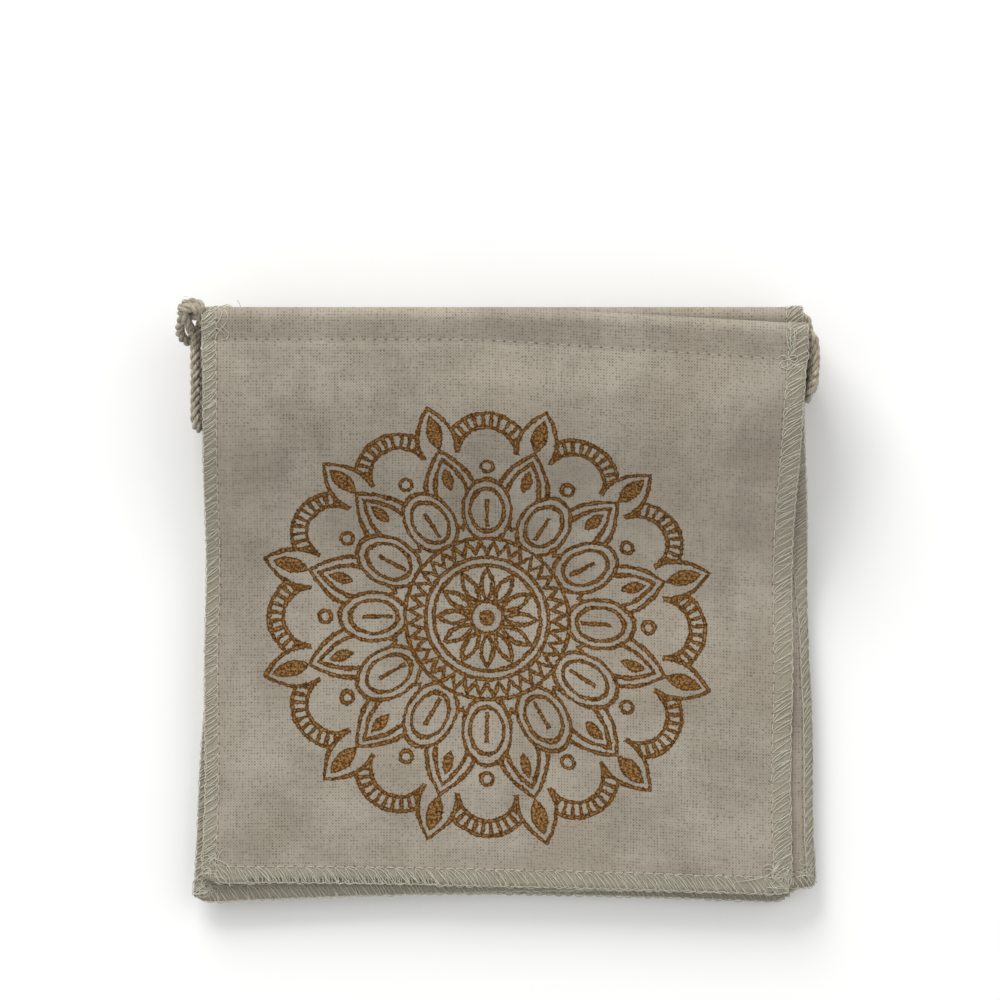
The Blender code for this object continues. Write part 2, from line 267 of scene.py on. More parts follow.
# Past the left mouth: out of the knot, under the first strand, up behind itself and over the knot
leftTail = (
    (-82.7, 77.2, 28.9), (-83.4, 76.3, 29.1), (-83.1, 74.9, 28.7), (-82.5, 73.6, 27.5),
    (-81.9, 72.4, 25.2), (-81.4, 71.2, 22.1), (-81.0, 70.3, 19.6), (-80.9, 69.3, 18.5),
    (-81.5, 68.7, 18.5), (-82.6, 68.7, 19.2), (-83.7, 69.5, 20.5), (-84.4, 71.0, 22.1),
    (-84.3, 72.7, 23.6), (-83.9, 74.3, 24.8), (-83.5, 76.0, 26.0), (-83.6, 77.5, 27.4),
    (-82.6, 78.4, 28.8), (-81.2, 78.6, 29.6), (-79.8, 78.4, 30.2), (-78.9, 77.7, 30.5),
    (-78.9, 76.7, 30.2), (-79.4, 75.9, 29.5), (-79.4, 75.1, 28.9),
)
rightLoop = (
    (79.7, 70.2, 28.7), (80.5, 68.9, 28.5), (80.9, 67.0, 28.3), (81.1, 64.4, 28.1),
    (81.0, 61.6, 27.6), (80.5, 58.8, 27.0), (79.7, 56.4, 26.4), (79.1, 54.8, 25.6),
    (78.8, 54.2, 24.4), (79.0, 55.0, 23.3), (79.5, 57.6, 22.8), (79.8, 62.0, 22.8),
    (79.7, 66.6, 22.8), (79.4, 69.8, 22.9), (79.1, 72.0, 23.0), (78.7, 73.8, 23.0),
)
pulled = {"from": 79.6, "above": 26.0, "middle": 63.5, "half": 5.0, "thinner": 0.2}
rightTail = (
    (77.2, 67.6, 2.8), (78.6, 65.9, 3.0), (79.1, 62.0, 3.6), (79.1, 57.6, 4.1),
    (79.0, 54.0, 3.6), (78.9, 53.0, 3.4),
)
# The turn that grips the left knot, over the strands above
leftWrap = (
    (-82.7, 75.9, 26.8), (-83.8, 76.2, 28.3), (-83.7, 76.8, 29.9), (-82.6, 77.2, 30.9),
    (-81.2, 77.3, 31.2), (-80.0, 76.9, 31.0), (-79.4, 76.1, 30.2), (-79.7, 75.4, 29.0),
    (-80.6, 75.3, 27.6), (-81.8, 75.6, 26.6),
)
farKnot = {"turns": 2.4, "across": 1.5, "up": 2.1, "height": 4.2, "first": 59.4, "spread": 1.5, "x": 79.1}


def casingAxis(flag, x):
    return (x, foldAt(flag, x) - casingRadius, flag["level"])


def mouthAt(flag, side):
    return casingAxis(flag, xAt(flag, 0.0 if side < 0 else 1.0, flag["fold"]))


def inSight(rows):
    return [row + (True,) for row in rows]


def throughCasing(flag, fromLeft):
    left = xAt(flag, 0.0, flag["fold"])
    right = xAt(flag, 1.0, flag["fold"])
    stations = [left, left + cord["mouthLead"], right - cord["mouthLead"], right]
    stations += [left + (right - left) * share for share in cord["casingShares"]]
    stations.sort(reverse=not fromLeft)
    return [casingAxis(flag, x) + (x in (left, right),) for x in stations]


def sideLoop(upper, lower, out, back, turnY, backZ=None):
    side = copysign(1.0, out)
    x0, y0, z0 = mouthAt(upper, side)
    x1, y1, z1 = mouthAt(lower, side)
    farZ = z1 if backZ is None else backZ
    width = out - back
    drop = z0 - farZ
    radius = hypot(width, drop) / 2
    bendY = turnY + radius
    outReach = abs(out - x0)
    backReach = abs(back - x1)
    near = min(y1 - cord["backStraight"] * backReach, y0 - cord["belowUpper"])
    top = y0 - cord["outStraight"] * outReach
    hang = z0 - cord["sag"]
    lean = back - side * cord["backLean"]
    points = []
    for share, drift, low in ((*cord["outFirst"], 0.0), (*cord["outShoulder"], cord["sag"] / 2)):
        points.append((x0 + side * share * outReach, y0 - drift * outReach, z0 - low))
    points += [(out, top, hang), (out, (top + bendY) / 2, hang)]
    for step in range(cord["turnSteps"] + 1):
        angle = pi * (step / cord["turnSteps"] - 0.5)
        share = 0.5 + 0.5 * sin(angle)
        points.append((out - width * share, bendY - radius * cos(angle), hang - drop * share))
    points += [(back, (bendY + near) / 2, (farZ + z1) / 2 - cord["sag"]), (lean, near, z1 - cord["sag"] / 2)]
    if y1 > y0:
        points.append((lean, y1 - cord["backShoulder"] * backReach, z1))
    share, drift = cord["backLast"]
    points.append((x1 + side * share * backReach, y1 - drift * backReach, z1))
    return points


def cordRoute():
    # X, Y and Z of the cord's way, and whether it shows there.
    route = inSight(leftTail)
    for i, flag in enumerate(flags):
        fromLeft = i % 2 == 0
        route += throughCasing(flag, fromLeft)
        if i == 0:
            route += inSight(rightLoop)
        elif i + 1 < flagCount:
            kind = "lowLoop" if i + 3 == flagCount else "rightLoop" if fromLeft else "leftLoop"
            out, back, turnY, *backZ = cord[kind]
            route += inSight(sideLoop(flag, flags[i + 1], out, back, turnY + i, *backZ))
    return route + inSight(rightTail)


def curvePoint(a, b, c, d, t):
    # Point of a centripetal spline between b and c.
    knots = [0.0]
    for start, end in ((a, b), (b, c), (c, d)):
        knots.append(knots[-1] + sqrt((end - start).length))
    k0, k1, k2, k3 = knots
    s = k1 + (k2 - k1) * t
    ab = a.lerp(b, (s - k0) / (k1 - k0))
    bc = b.lerp(c, (s - k1) / (k2 - k1))
    cd = c.lerp(d, (s - k2) / (k3 - k2))
    abc = ab.lerp(bc, (s - k0) / (k2 - k0))
    bcd = bc.lerp(cd, (s - k1) / (k3 - k1))
    return abc.lerp(bcd, (s - k1) / (k2 - k1))


def smoothed(points, counts):
    # A smooth curve through the points, with so many even steps on each stretch.
    padded = [2 * points[0] - points[1], *points, 2 * points[-1] - points[-2]]
    curve = [points[0]]
    for i, count in enumerate(counts):
        curve += [curvePoint(*padded[i:i + 4], j / count) for j in range(1, count + 1)]
    return curve


def centreLine(route):
    # Even points of the smooth route, and whether the stretch before each one shows.
    points = [Vector(row[:3]) for row in route]
    counts = []
    shown = [True]
    for i in range(len(points) - 1):
        visible = route[i][3] or route[i + 1][3]
        span = (points[i + 1] - points[i]).length
        counts.append(max(1, round(span / cord["step" if visible else "hiddenStep"])))
        shown += [visible] * counts[-1]
    return smoothed(points, counts), shown


def newCurve(name):
    curve = bpy.data.curves.new(name, "CURVE")
    curve.dimensions = "3D"
    curve.use_fill_caps = True
    return curve


def curveToMesh(name, curve, material):
    # Turns a curve into a mesh object that sits at the origin.
    holder = addObject(name + "_curve", curve)
    graph = bpy.context.evaluated_depsgraph_get()
    mesh = bpy.data.meshes.new_from_object(holder.evaluated_get(graph))
    bpy.data.objects.remove(holder)
    bpy.data.curves.remove(curve)
    mesh.name = name
    mesh.materials.clear()
    mesh.materials.append(material)
    mesh.shade_smooth()
    return addObject(name, mesh)


def addStrand(curve, points, radii=None, tilts=None):
    spline = curve.splines.new("POLY")
    spline.points.add(len(points) - 1)
    flat = []
    for p in points:
        flat += [p[0] * mm, p[1] * mm, p[2] * mm, 1.0]
    spline.points.foreach_set("co", flat)
    if radii:
        spline.points.foreach_set("radius", radii)
    if tilts:
        spline.points.foreach_set("tilt", tilts)
    spline.use_smooth = True


def plySection():
    # Section of one ply: its yarns show as lobes.
    curve = bpy.data.curves.new("plySection", "CURVE")
    curve.dimensions = "2D"
    count = 4 * cord["yarns"]
    spline = curve.splines.new("POLY")
    spline.points.add(count - 1)
    for i in range(count):
        angle = tau * i / count
        radius = cord["plyRadius"] - cord["yarnDepth"] * (0.5 - 0.5 * cos(angle * cord["yarns"]))
        spline.points[i].co = (radius * cos(angle) * mm, radius * sin(angle) * mm, 0, 1)
    spline.use_cyclic_u = True
    return addObject("plySection", curve)


def twistedRope(name, line, shown, material, swell=None):
    # Lays the plies round the line; swell scales the rope along its way.
    section = plySection()
    curve = newCurve(name)
    curve.bevel_mode = "OBJECT"
    curve.bevel_object = section
    strands = [[] for _ in range(cord["plies"])]
    tilts = []
    side = Vector((0.0, 0.0, 1.0))
    turn = 0.0
    run = 0.0
    for i, centre in enumerate(line):
        before = line[max(i - 1, 0)]
        after = line[min(i + 1, len(line) - 1)]
        ahead = (after - before).normalized()
        if i and shown[i]:
            turn += tau * (centre - before).length / cord["lay"]
            run += (centre - before).length
        across = ahead.cross(side).normalized()
        side = across.cross(ahead).normalized()
        scale = swell[i] if swell else 1.0
        for k, strand in enumerate(strands):
            angle = turn + tau * k / cord["plies"]
            out = side * cos(angle) + across * sin(angle)
            strand.append(centre + out * cord["plyOffset"] * scale)
        tilts.append(-tau * run / cord["yarnLay"])
    for strand in strands:
        addStrand(curve, strand, swell, tilts)
    rope = curveToMesh(name, curve, material)
    data = section.data
    bpy.data.objects.remove(section)
    bpy.data.curves.remove(data)
    return rope


def lengthOf(line):
    return sum((b - a).length for a, b in zip(line, line[1:]))


def nodeMaths(operation, swapped=False):
    def apply(self, *others):
        values = (*others, self) if swapped else (self, *others)
        return self.bench.calc(operation, *values)
    return apply


class Field:
    # What a node gives over a surface; arithmetic on it adds nodes.

    def __init__(self, bench, socket):
        self.bench = bench
        self.socket = socket

    __add__ = __radd__ = nodeMaths("ADD")
    __sub__ = nodeMaths("SUBTRACT")
    __rsub__ = nodeMaths("SUBTRACT", swapped=True)
    __mul__ = __rmul__ = nodeMaths("MULTIPLY")
    __truediv__ = nodeMaths("DIVIDE")
    __mod__ = nodeMaths("FLOORED_MODULO")
    __abs__ = nodeMaths("ABSOLUTE")
    __lt__ = nodeMaths("LESS_THAN")
    __gt__ = nodeMaths("GREATER_THAN")
    atLeast = nodeMaths("MAXIMUM")
    atMost = nodeMaths("MINIMUM")
    floor = nodeMaths("FLOOR")
    round = nodeMaths("ROUND")
    fract = nodeMaths("FRACT")
    sine = nodeMaths("SINE")
    cosine = nodeMaths("COSINE")
    pingPong = nodeMaths("PINGPONG")


class Bench:
    # Short ways to place and join nodes in one tree.

    def __init__(self, tree):
        self.tree = tree

    def join(self, socket, value):
        if isinstance(value, Field):
            self.tree.links.new(value.socket, socket)
        elif value is not None:
            socket.default_value = value

    def node(self, kind, values=(), output=0, **settings):
        # values fill the inputs in their order, or by name or number where they are a dictionary.
        made = self.tree.nodes.new(kind)
        for key, value in settings.items():
            setattr(made, key, value)
        if not isinstance(values, dict):
            values = dict(enumerate(values))
        for label, value in values.items():
            self.join(made.inputs[label], value)
        return Field(self, made.outputs[output])

    def calc(self, operation, *values, clamp=False):
        return self.node("ShaderNodeMath", values, operation=operation, use_clamp=clamp)

    def step(self, low, high, value):
        # 0 below low, 1 above high, soft between.
        return self.node("ShaderNodeMapRange", (value, low, high), interpolation_type="SMOOTHSTEP")

    def distance(self, x, y):
        return self.calc("SQRT", x * x + y * y)

    def split(self, vector):
        first = self.node("ShaderNodeSeparateXYZ", (vector,))
        return [Field(self, socket) for socket in first.socket.node.outputs]

    def combine(self, *values):
        return self.node("ShaderNodeCombineXYZ", values)

    def noise(self, vector, scale, detail=2.0, rough=0.5):
        return self.node("ShaderNodeTexNoise",
                         {"Vector": vector, "Scale": scale, "Detail": detail, "Roughness": rough})

    def stretch(self, vector, *scale):
        return self.node("ShaderNodeMapping", {"Vector": vector, "Scale": scale})

    def uvMap(self, name):
        return self.node("ShaderNodeUVMap", uv_map=name)

    def mix(self, share, first, second):
        return self.node("ShaderNodeMix", {0: share, 6: first, 7: second}, output=2, data_type="RGBA")

    def bump(self, shader, height, strength, depth):
        made = self.node("ShaderNodeBump", {"Strength": strength, "Distance": depth * mm, "Height": height})
        self.join(shader.inputs["Normal"], made)

    def group(self, tree, **values):
        first = self.node("ShaderNodeGroup", values, node_tree=tree)
        return {socket.name: Field(self, socket) for socket in first.socket.node.outputs}


def newGroup(name, inputs, outputs):
    # An input without a value of its own is a vector; all else are plain numbers.
    tree = bpy.data.node_groups.new(name, "ShaderNodeTree")
    for label, value in inputs.items():
        kind = "NodeSocketVector" if value is None else "NodeSocketFloat"
        socket = tree.interface.new_socket(label, in_out="INPUT", socket_type=kind)
        if value is not None:
            socket.default_value = value
    for label in outputs:
        tree.interface.new_socket(label, in_out="OUTPUT", socket_type="NodeSocketFloat")
    bench = Bench(tree)
    given = {socket.name: Field(bench, socket) for socket in tree.nodes.new("NodeGroupInput").outputs}
    return bench, given, tree.nodes.new("NodeGroupOutput").inputs


def srgb(red, green, blue):
    # Colour as read off a screen, 0 to 255, to linear.
    def one(value):
        value /= 255
        return value / 12.92 if value <= 0.04045 else ((value + 0.055) / 1.055) ** 2.4
    return one(red), one(green), one(blue), 1.0


def weaveGroup():
    # Plain weave in millimetres: height, painted shade in the pores between the yarns and at their crossings,
    # and each yarn's own tone.
    bench, given, out = newGroup(
        "plainWeave",
        {"Cloth": None, "Warp": 0.785, "Weft": 0.735, "Wander": 0.8, "Pore": 0.28},
        ("Height", "PaintedShade", "Tone"),
    )
    cloth = given["Cloth"]
    x, y, _ = bench.split(cloth)
    driftX = bench.noise(bench.stretch(cloth, 0.4, 0.06, 1.0), 1.0) - 0.5
    driftY = bench.noise(bench.stretch(cloth, 0.06, 0.4, 1.0), 1.3) - 0.5
    across = (driftX * given["Wander"] + x) / given["Warp"]
    along = (driftY * given["Wander"] + y) / given["Weft"]
    warpPlace = across.fract() - 0.5
    weftPlace = along.fract() - 0.5
    side = (across.floor() + along.floor()) % 2.0 * -2.0 + 1.0  # 1 where the warp lies on top

    def hump(place, other, over):
        dome = 1.0 - place * place * 3.6
        return dome * ((other * pi).cosine() * over * 0.4 + 0.6)

    warp = hump(warpPlace, weftPlace, side)
    weft = hump(weftPlace, warpPlace, side * -1.0)
    # a pore sits where four yarns meet; no two are alike
    corner = bench.combine(across.round(), along.round(), 0.0)
    dice = bench.node("ShaderNodeTexWhiteNoise", {"Vector": corner}, noise_dimensions="2D")
    openness = bench.noise(cloth, 0.22, 3.0, 0.65)
    inner = 1.0 - given["Pore"] * (dice * 1.05 + 0.4) * (openness * 0.8 + 0.6)
    pore = bench.step(inner - 0.14, inner + 0.12, abs(warpPlace) + abs(weftPlace))
    # shade lies at the crossings too, between the pores
    shade = (across * tau).cosine() * (along * tau).cosine()
    warpTone = bench.noise(bench.combine(across.floor(), y * 0.12, 5.0), 0.83, 0.0)
    weftTone = bench.noise(bench.combine(x * 0.12, along.floor(), 9.0), 0.83, 0.0)
    bench.join(out["Height"], warp.atLeast(weft) - pore)
    # painted shade: dark in the pores and at the crossings
    bench.join(out["PaintedShade"], pore.atLeast(shade.atLeast(0.0) * 0.5))
    bench.join(out["Tone"], (warp > weft) * (warpTone - weftTone) + weftTone)
    return bench.tree


def fleckGroup():
    # Small dark bits of seed husk in unbleached cloth.
    bench, given, out = newGroup("seedFlecks", {"Cloth": None, "Spacing": 7.0, "Size": 0.2}, ("Mask",))
    spacing = bench.combine(given["Spacing"], given["Spacing"], 1.0)
    spread = bench.node("ShaderNodeVectorMath", (given["Cloth"], spacing), operation="DIVIDE")
    cells = bench.node("ShaderNodeTexVoronoi", {"Vector": spread, "Scale": 1.0}, feature="F1")
    red, green, _ = bench.split(Field(bench, cells.socket.node.outputs["Color"]))
    size = given["Size"] * (green * 1.2 + 0.3)
    inside = 1.0 - bench.step(size * 0.55, size, cells * given["Spacing"])
    bench.join(out["Mask"], inside * (red > 0.45))
    return bench.tree


def stitchHoleGroup():
    # Needle holes in a row, as a mask for the painted shade in them and their dent: Across is the distance
    # from the row, Along the way on it.
    bench, given, out = newGroup(
        "needleHoles", {"Across": 0.0, "Along": 0.0, "Pitch": 2.8, "Size": 0.3}, ("Mask",))
    along = ((given["Along"] / given["Pitch"] + 0.5).fract() - 0.5) * given["Pitch"]
    size = given["Size"]
    bench.join(out["Mask"], 1.0 - bench.step(size * 0.4, size, bench.distance(along, given["Across"])))
    return bench.tree


printed = {
    "centreX": -4.5,
    "centreY": -3.1,
    "lineWidth": 1.15,
    "wobble": 0.8,
    "ink": srgb(160, 117, 58),
    "inkDark": srgb(84, 51, 4),
    "inkPool": srgb(54, 28, 0),
}
# The rosette from its middle outwards. Petals and leaves have the middle of their length on a ray, half their
# length and half their width; an echo is a second line so far inside the first one
drawing = {
    "parts": 12,
    "heart": 1.5,
    "heartRing": 4.3,
    "bud": (8.6, 4.2, 1.55),
    "innerRing": 13.9,
    "bandRings": (16.1, 21.4),
    "teeth": 36,
    "toothFoot": 17.2,
    "toothRise": 6.2,
    "petal": (29.6, 8.9, 6.3),
    "petalEcho": 2.3,
    "vein": (28.6, 3.4),
    "pointed": (35.0, 13.0, 6.6),
    "pointedFrom": 24.0,
    "pointedEcho": 2.1,
    "pointedSeed": (39.4, 2.6, 0.9),
    "beadPlace": 42.2,
    "bead": 1.55,
    "archMiddle": 45.6,
    "archRims": (11.4, 7.6),
    "archFrom": 46.5,
    "strokes": 4.4,          # for each radian of the arch
    "strokeHalf": 1.2,
    "lobe": (50.0, 10.0, 5.0),
    "lobeSeed": (53.0, 4.2, 1.5),
}


def rosetteGroup():
    # A twelvefold rosette of petals, drawn as one field of distances to its nearest line.
    bench, given, out = newGroup(
        "printedRosette", {"Cloth": None, "Line": 1.3, "Wobble": 0.5}, ("Mask", "Depth"))
    cloth = given["Cloth"]
    x, y, _ = bench.split(cloth)
    x = (bench.noise(cloth, 0.35) - 0.5) * given["Wobble"] + x
    y = (bench.noise(bench.stretch(cloth, -1.0, 1.0, 1.0), 0.35) - 0.5) * given["Wobble"] + y
    radius = bench.distance(x, y)
    angle = bench.calc("ARCTAN2", y, x)

    def sector(shift=0.0):
        # Place along and beside the middle line of the nearest part.
        parts = drawing["parts"]
        turns = angle * (parts / tau) + shift
        off = (turns - turns.round()) * (tau / parts)
        return radius * off.cosine(), radius * abs(off.sine())

    def leaf(place, size):
        # Signed distance to a pointed leaf.
        middle, half, width = size
        t = (place[0] - middle) / half
        return (place[1] - (1.0 - t * t) * width) * 0.86

    def oval(place, size):
        # Signed distance to a rounded petal.
        middle, half, width = size
        return (bench.distance((place[0] - middle) / half, place[1] / width) - 1.0) * ((half + width) / 2)

    def only(distance, keep):
        # Pushes a line away wherever keep is below zero.
        return distance + (keep < 0.0) * 9.0

    field = (radius - drawing["heart"]).atLeast(0.0)

    def draw(distance):
        nonlocal field
        field = field.atMost(distance)

    onRay = sector()
    between = sector(0.5)
    bandStart, bandEnd = drawing["bandRings"]
    for size in (drawing["heartRing"], drawing["innerRing"], bandStart, bandEnd):
        draw(abs(radius - size))
    draw(abs(leaf(onRay, drawing["bud"])))
    # toothed band
    swing = (angle * (drawing["teeth"] / tau)).pingPong(0.5)
    tooth = swing * drawing["toothRise"] + drawing["toothFoot"]
    draw(only(abs(radius - tooth) * 0.5, radius - bandStart))
    # rounded petals with an echo line and a vein
    petal = oval(onRay, drawing["petal"])
    for inset in (0.0, drawing["petalEcho"]):
        draw(only(abs(petal + inset), radius - bandEnd))
    middle, half = drawing["vein"]
    draw(onRay[1].atLeast(abs(onRay[0] - middle) - half))
    # pointed petals behind them
    pointed = leaf(between, drawing["pointed"])
    for inset in (0.0, drawing["pointedEcho"]):
        draw(only(abs(pointed + inset), petal.atMost(radius - drawing["pointedFrom"])))
    draw(leaf(between, drawing["pointedSeed"]).atLeast(0.0))
    # small rings over the rounded petals
    draw(abs(bench.distance(onRay[0] - drawing["beadPlace"], onRay[1]) - drawing["bead"]))
    # outer arches with strokes, and leaves between them
    archX = onRay[0] - drawing["archMiddle"]
    arch = bench.distance(archX, onRay[1])
    outside = pointed.atMost(radius - drawing["archFrom"])
    lobe = leaf(between, drawing["lobe"])
    outsideLobe = outside.atMost(lobe)
    for size in drawing["archRims"]:
        draw(only(abs(arch - size), outsideLobe))
    spread = bench.calc("ARCTAN2", onRay[1], archX)
    stroke = (spread * drawing["strokes"] + 0.5).pingPong(0.5) * (drawing["strokes"] / 2)
    inStrip = abs(arch - sum(drawing["archRims"]) / 2) - drawing["strokeHalf"]
    draw(only(stroke.atLeast(inStrip), outsideLobe))
    draw(only(abs(lobe), outside))
    draw(leaf(between, drawing["lobeSeed"]).atLeast(0.0))
    # the block's pressure varies, and the ink frays into the weave
    press = bench.noise(cloth, 0.2) * 1.3 + 0.32
    fray = bench.noise(cloth, 1.3, 3.0, 0.72) - 0.5
    edge = fray * 1.35 + given["Line"] * 0.5 * press
    bench.join(out["Mask"], 1.0 - bench.step(edge - 0.12, edge + 0.12, field))
    bench.join(out["Depth"], bench.calc("DIVIDE", edge - field, 0.6, clamp=True))
    return bench.tree


weave = weaveGroup()
flecks = fleckGroup()
holes = stitchHoleGroup()
rosette = rosetteGroup()
print("node groups made")

calico = {
    "light": srgb(170, 163, 149),
    "dark": srgb(144, 136, 122),
    # colour of the painted shade in the weave's pores and at its crossings
    "gap": srgb(58, 48, 36),
    "warm": srgb(166, 154, 138),
    "band": srgb(152, 148, 130),   # under the overlocking
    # dark seed husk, and also the colour of the painted shade in the needle holes
    "huskAndHoleShade": srgb(60, 46, 32),
    "poreShade": 0.53,
    "poreShadeInBand": 0.28,
    "holeShade": 0.52,
    "stitchPitch": 2.6,
    "seamPitch": 2.8,
    "seamHole": 0.42,
    "edgeHole": 0.4,
    "edgeRow": 0.12,               # needle row past the edging's own line
    "roughness": 0.92,
    "inkRoughness": 0.57,
}


def shaderOf(material, settings):
    material.use_nodes = True
    shader = material.node_tree.nodes["Principled BSDF"]
    for label, value in settings.items():
        shader.inputs[label].default_value = value
    return shader


def makeCalico(name, withPrint):
    material = bpy.data.materials.new(name)
    shader = shaderOf(material, {"Specular IOR Level": 0.05, "Sheen Weight": 0.04, "Sheen Roughness": 0.6})
    bench = Bench(material.node_tree)
    cloth = bench.uvMap("clothMm")
    across, down, _ = bench.split(cloth)
    fromSide, fromHem, _ = bench.split(bench.uvMap("needleMm"))
    woven = bench.group(weave, Cloth=cloth)
    tone = woven["Tone"] * 0.2 + bench.noise(cloth, 0.05, 3.0, 0.6) * 0.8
    body = bench.mix(bench.step(0.3, 0.72, tone), calico["dark"], calico["light"])
    warmth = bench.step(0.4, 0.7, bench.noise(cloth, 0.03))
    body = bench.mix(warmth * 0.4, body, calico["warm"])
    inBand = 1.0 - bench.step(-0.35, 0.15, fromSide.atMost(fromHem))
    body = bench.mix(inBand * 0.55, body, calico["band"])
    pores = inBand * (calico["poreShadeInBand"] - calico["poreShade"]) + calico["poreShade"]
    # painted shade in the pores and at the crossings, weaker in the band
    body = bench.mix(woven["PaintedShade"] * pores, body, calico["gap"])
    rows = (
        (down, across, calico["seamPitch"], calico["seamHole"]),
        (fromSide - calico["edgeRow"], down, calico["stitchPitch"], calico["edgeHole"]),
        (fromHem - calico["edgeRow"], across, calico["stitchPitch"], calico["edgeHole"]),
    )
    seam, side, hem = [bench.group(holes, **dict(zip(("Across", "Along", "Pitch", "Size"), row)))["Mask"]
                       for row in rows]
    hole = seam.atLeast(side.atLeast(hem))
    # painted shade in the needle holes
    body = bench.mix(hole * calico["holeShade"], body, calico["huskAndHoleShade"])
    # real seed-husk flecks in the cloth
    body = bench.mix(bench.group(flecks, Cloth=cloth)["Mask"] * 0.8, body, calico["huskAndHoleShade"])
    roughness = calico["roughness"]
    if withPrint:
        shift = (-printed["centreX"], -printed["centreDown"], 0.0)
        centred = bench.node("ShaderNodeMapping", {"Vector": cloth, "Location": shift})
        drawn = bench.group(rosette, Cloth=centred, Line=printed["lineWidth"], Wobble=printed["wobble"])
        # golden and mottled in the middle of each line, dark along its rims and where ink has pooled
        speckle = bench.noise(cloth, 1.5, 2.0, 0.8)
        golden = bench.step(0.44, 0.6, speckle) * bench.step(0.35, 0.85, drawn["Depth"])
        pooled = bench.step(0.5, 0.66, bench.noise(cloth, 0.4, 3.0, 0.65))
        inkTone = bench.mix(pooled * 0.9, printed["inkDark"], printed["inkPool"])
        inkTone = bench.mix(golden * 0.85, inkTone, printed["ink"])
        ink = drawn["Mask"] * (golden * -0.2 + 1.0)
        body = bench.mix(ink, body, inkTone)
        bench.join(shader.inputs["Metallic"], ink * golden * 0.3)
        roughness = roughness - ink * (calico["roughness"] - calico["inkRoughness"])
    bench.join(shader.inputs["Base Color"], body)
    bench.join(shader.inputs["Roughness"], roughness)
    bench.bump(shader, woven["Height"] - hole, 0.2, 0.1)
    return material


printed["centreDown"] = -downOf(flags[0], flags[0]["seamY"] - printed["centreY"])
calicoFace = makeCalico("calicoFace", True)
calicoBack = makeCalico("calicoBack", False)


def makeFibre(name, light, dark, turns, spacing, bumpDepth):
    # Twisted cotton: turns is the number of fibres round a strand, spacing their share of its way.
    material = bpy.data.materials.new(name)
    shader = shaderOf(material, {"Roughness": 0.9, "Sheen Weight": 0.12})
    bench = Bench(material.node_tree)
    place = Field(bench, bench.node("ShaderNodeTexCoord").socket.node.outputs["Object"])
    along, around, _ = bench.split(bench.uvMap("UVMap"))
    fibre = bench.noise(bench.combine(along * spacing, around * turns, 0.0), 1.0, 3.0, 0.7)
    broad = bench.noise(bench.stretch(place, 1000.0, 1000.0, 1000.0), 0.5, 3.0, 0.6)
    tone = fibre * 0.65 + broad * 0.35
    bench.join(shader.inputs["Base Color"], bench.mix(bench.step(0.34, 0.64, tone), dark, light))
    bench.bump(shader, fibre, 0.7, bumpDepth)
    return material


ropeCotton = makeFibre("ropeCotton", srgb(197, 188, 169), srgb(110, 99, 80), 13.0, 260.0, 0.22)
threadCotton = makeFibre("threadCotton", srgb(212, 208, 191), srgb(170, 165, 147), 3.0, 12.0, 0.03)
seamCotton = makeFibre("seamCotton", srgb(180, 173, 158), srgb(158, 150, 134), 3.0, 12.0, 0.03)
print("materials made")

line, shown = centreLine(cordRoute())


def girthAt(point):
    # The rope's share of its own thickness: less where the right loop is pulled thin.
    if point.x < pulled["from"] or point.z < pulled["above"]:
        return 1.0
    return 1.0 - pulled["thinner"] * exp(-((point.y - pulled["middle"]) / pulled["half"]) ** 2)


rope = twistedRope("cord_rope", line, shown, ropeCotton, [girthAt(point) for point in line])


def farKnotRoute():
    rows = []
    steps = round(farKnot["turns"] * 8)
    for i in range(steps + 1):
        turns = farKnot["turns"] * i / steps
        rows.append((
            farKnot["x"] + farKnot["across"] * cos(tau * turns),
            farKnot["first"] - farKnot["spread"] * turns,
            farKnot["height"] + farKnot["up"] * sin(tau * turns),
        ))
    return rows


knots = []
for name, rows in (("left_knot", leftWrap), ("far_knot", farKnotRoute())):
    knots.append(twistedRope(name, *centreLine(inSight(rows)), ropeCotton))

# Stray fibres that stand off the rope
hair = {
    "seed": 7,
    "count": 420,
    "radius": 0.035,
    "root": 1.2,             # from the rope's middle
    "lean": 1.2,
    "length": (0.25, 0.85),
    "shape": ((0.5, 0.25), (0.9, 1.4), (0.8, 2.4)),  # outwards and along, for each length
}


def ropeHairs(dice):
    hairs = []
    # only where the rope shows
    seen = [i for i in range(2, len(line) - 2) if shown[i] and shown[i + 1]]
    for _ in range(hair["count"]):
        i = dice.choice(seen)
        ahead = (line[i + 1] - line[i - 1]).normalized()
        out = Vector([dice.gauss(0, 1) for _ in range(3)])
        out = (out - ahead * out.dot(ahead)).normalized()
        lean = ahead * dice.uniform(-hair["lean"], hair["lean"])
        size = dice.uniform(*hair["length"])
        root = line[i] + out * hair["root"]
        hairs.append([root] + [root + (out * off + lean * along) * size for off, along in hair["shape"]])
    return hairs


print("cord laid:", round(lengthOf(line)), "mm")

cloth = {
    "thickness": 0.5,
    "topStep": 1.05,         # grid of the top flag
    "lowerStep": 2.6,
    "casingStep": 0.75,
    "lowerCasingStep": 1.5,
    "casingMiddle": 4.0,     # below the fold: a casing is as wide all round as it is there
    "creaseFrom": 8.0,
}
overlock = {
    "pitch": 2.6,
    "inset": 4.0,            # of the needle line
    "topInsets": {"left": 3.35, "right": 4.7, "bottom": 4.2},
    "radius": 0.11,
    "fineRadius": 0.07,
    "slant": 3.35,           # the leaves are drawn for an edging this wide
    "lift": 0.05,
    "jitter": 0.2,
    "pastCasing": 3.0,
    "sideEnd": 0.6,
    "hemEnd": 0.8,
    "skew": (0.75, 1.2),     # of a leaf, and the way it bows
    "bow": (-0.25, 0.3),
    "rise": (0.0, 0.1),
    "arch": 0.12,            # its middle stands this much higher than its ends
    "hang": (0.25, 0.65),    # of the loops off the rim, which hang less at the sides
    "sideHang": 0.6,
    "loopWidth": (0.9, 1.15),
    "endDip": -0.05,
    "seed": 40,
}
